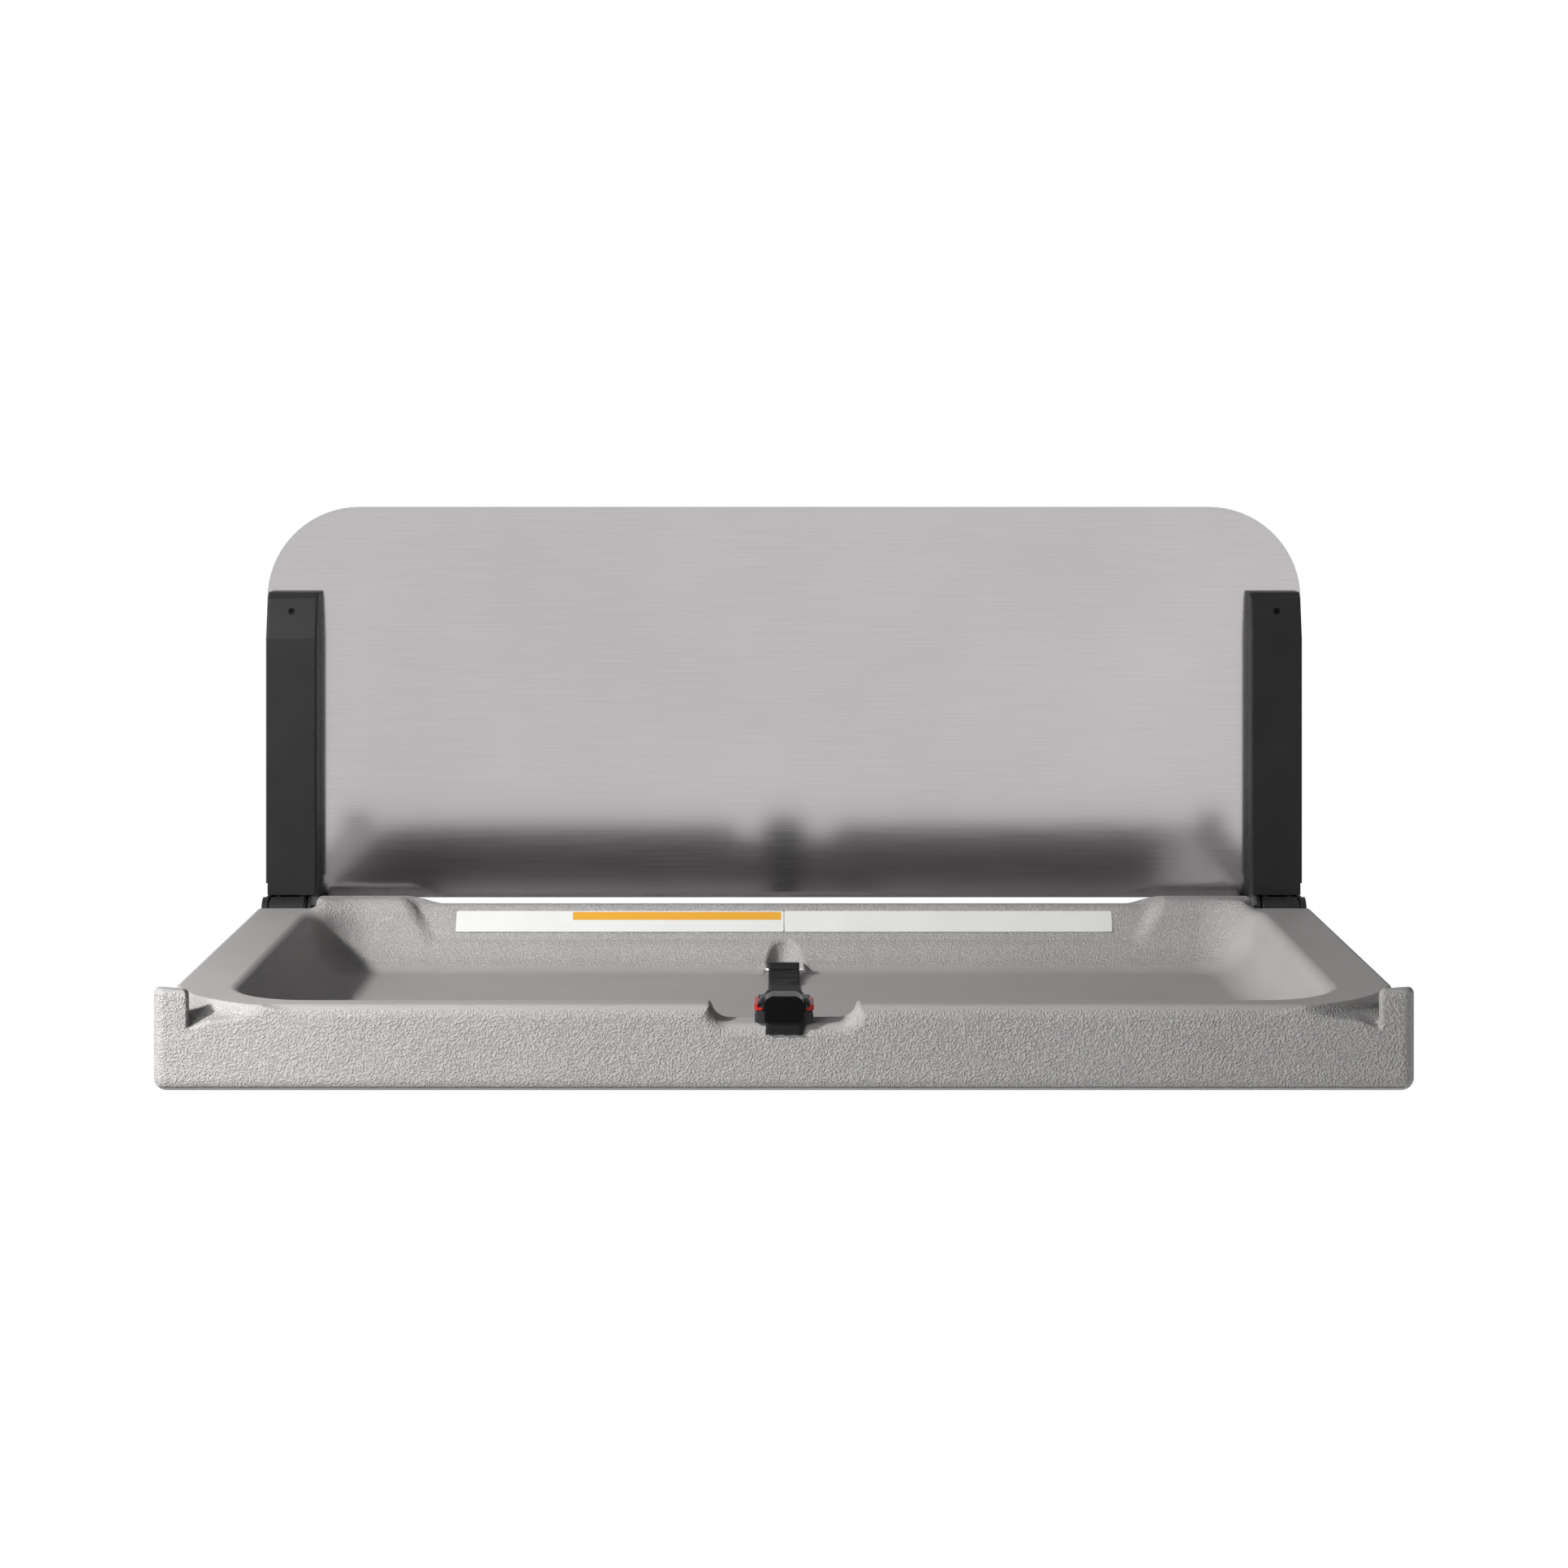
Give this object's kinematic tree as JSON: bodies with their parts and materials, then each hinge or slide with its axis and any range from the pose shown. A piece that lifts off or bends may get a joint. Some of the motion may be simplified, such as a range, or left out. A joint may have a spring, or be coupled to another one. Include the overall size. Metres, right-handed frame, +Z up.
{
  "type": "baby changing station",
  "caption": "Fold-down wall baby changing station: steel back panel, two black uprights, moulded grey bed with a basin, belt and buckle.",
  "frame": {"origin": "centre of the four wall bolt holes, on the wall plane at the back face of the panel", "axes": "+X to the right along the wall, seen from the room; +Y into the wall; +Z up. Stored with the bed folded down"},
  "size_m": [0.889, 0.5152, 0.3972],
  "materials": {
    "panel_steel": "satin",
    "black_coat": "fine-textured powder coat",
    "zinc": "zinc plated",
    "black_screw": "black oxide",
    "spring_black": "smooth black",
    "rod_chrome": "polished",
    "bush_plastic": "moulded",
    "tray_grey": "pebbled on the outer faces and the back wall, smooth elsewhere",
    "label_white": "satin",
    "label_amber": "satin white with a plain amber strip",
    "anchor_chrome": "polished",
    "webbing": "woven",
    "buckle_grey": "moulded",
    "buckle_gloss": "glossy",
    "button_red": "moulded"
  },
  "bodies": {
    "wall_frame": {"back_panel": "panel_steel", "upright_bracket_right": "black_coat", "upright_bracket_left": "black_coat", "arm_cover_right": "black_coat", "arm_cover_left": "black_coat", "bracket_rivets": "zinc", "cover_screws": "black_screw", "hinge_pin_right": "black_coat", "hinge_pin_left": "black_coat", "pin_clips": "black_screw", "gas_cylinder_right": "spring_black", "gas_cylinder_left": "spring_black", "cylinder_pins": "zinc"},
    "bed": {"tray_floor": "tray_grey", "tray_back": "tray_grey", "tray_front_middle": "tray_grey", "tray_front_right": "tray_grey", "tray_front_left": "tray_grey", "tray_corner_right": "tray_grey", "tray_corner_left": "tray_grey", "tray_side_right": "tray_grey", "tray_side_left": "tray_grey", "underside_plate": "tray_grey", "underside_screws": "zinc", "bed_arm_right": "zinc", "bed_arm_left": "zinc", "arm_screws": "zinc", "bed_hinge_right": "black_coat", "bed_hinge_left": "black_coat", "hinge_bushings": "bush_plastic", "crank_pins": "zinc", "label_left": "label_amber", "label_right": "label_white", "belt_anchor_bar": "anchor_chrome", "belt_tail": "webbing", "buckle_housing": "buckle_grey", "buckle_cap": "buckle_gloss", "buckle_screw": "zinc"},
    "rod_right": {"gas_rod_right": "rod_chrome", "gas_piston_right": "bush_plastic", "rod_yoke_right": "zinc"},
    "rod_left": {"gas_rod_left": "rod_chrome", "gas_piston_left": "bush_plastic", "rod_yoke_left": "zinc"},
    "insert": {"buckle_insert": "buckle_grey", "belt_webbing": "webbing"},
    "button_right": {"release_button_right": "button_red"},
    "button_left": {"release_button_left": "button_red"}
  },
  "joints": [
    {"name": "bed_fold", "type": "hinge", "parent": "wall_frame", "child": "bed", "pos_m": [0, -0.043, -0.145], "axis": [-1, 0, 0], "range_deg": [0, 90]},
    {"name": "spring_rod_right", "type": "slide", "parent": "wall_frame", "child": "rod_right", "axis": [0, 0, -1], "range_m": [0, 0.0397]},
    {"name": "spring_rod_left", "type": "slide", "parent": "wall_frame", "child": "rod_left", "axis": [0, 0, -1], "range_m": [0, 0.0397]},
    {"name": "buckle_release", "type": "slide", "parent": "bed", "child": "insert", "axis": [0, 1, 0], "range_m": [0, 0.04], "deforming": ["belt_webbing"]},
    {"name": "button_press_right", "type": "slide", "parent": "bed", "child": "button_right", "axis": [-1, 0, 0], "range_m": [0, 0.002], "stiffness_N_per_m": 600, "springref_m": -0.001},
    {"name": "button_press_left", "type": "slide", "parent": "bed", "child": "button_left", "axis": [1, 0, 0], "range_m": [0, 0.002], "stiffness_N_per_m": 600, "springref_m": -0.001}
  ],
  "couplings": [
    {"joint": "spring_rod_right", "follows": "bed_fold", "m_per_rad": 0.025209},
    {"joint": "spring_rod_left", "follows": "bed_fold", "m_per_rad": 0.025209}
  ]
}
